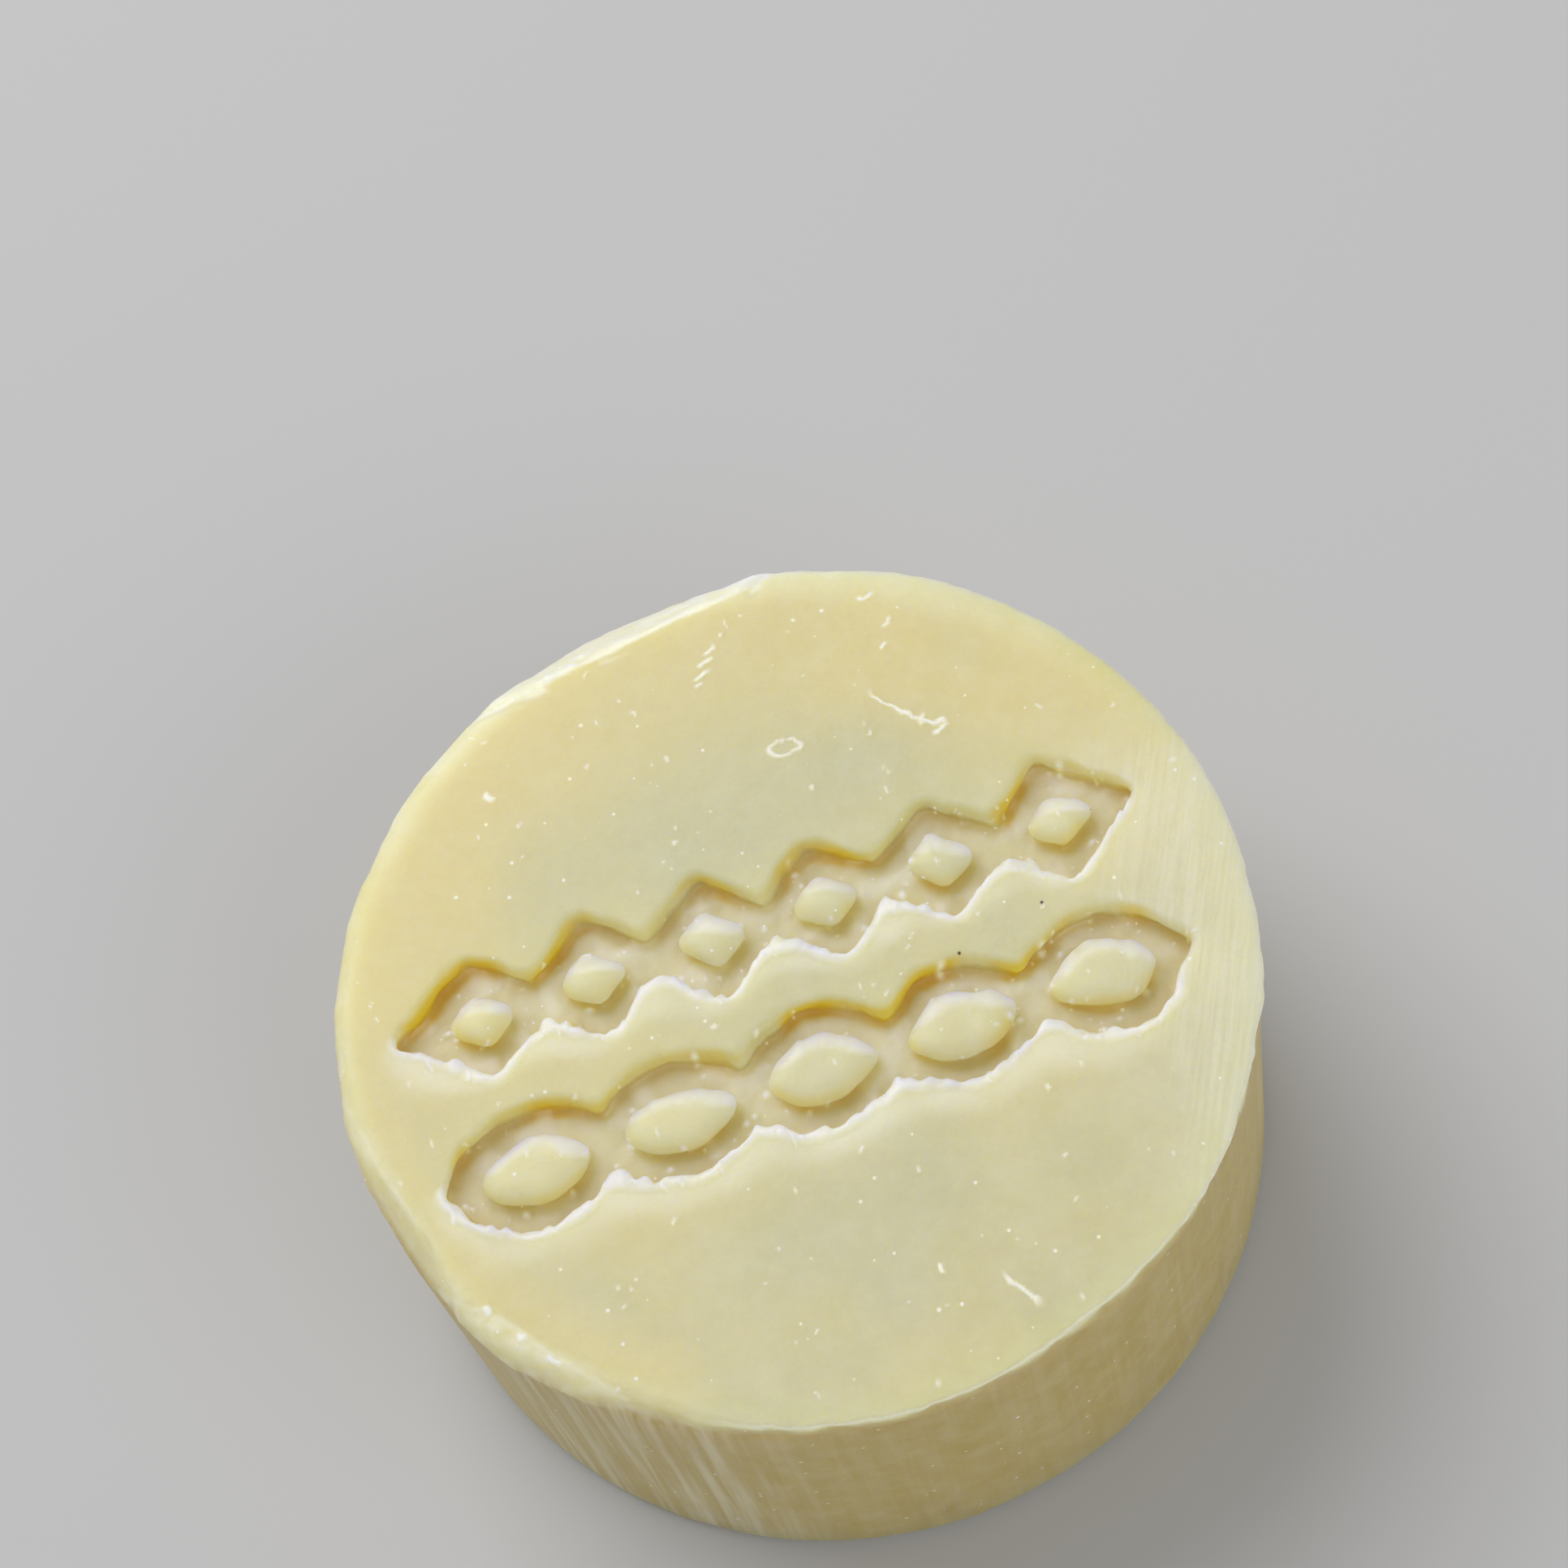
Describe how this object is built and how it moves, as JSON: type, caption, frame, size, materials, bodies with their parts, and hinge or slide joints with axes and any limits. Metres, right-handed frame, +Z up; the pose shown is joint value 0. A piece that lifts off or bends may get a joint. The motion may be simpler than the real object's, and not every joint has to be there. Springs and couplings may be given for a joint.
{
  "type": "shampoo bar",
  "caption": "Round solid shampoo bar cut square from a cast log, with a hand-pared rim and stamped geometric relief on its upper face.",
  "frame": {"origin": "centre of the flat back face that the bar rests on", "axes": "+Z up through the stamped face, +Y upright direction of the stamped rows, +X along the rows"},
  "size_m": [0.066, 0.066, 0.03],
  "materials": {
    "soap": "satin"
  },
  "bodies": {
    "root": {"shampoo_bar": "soap"}
  },
  "joints": []
}
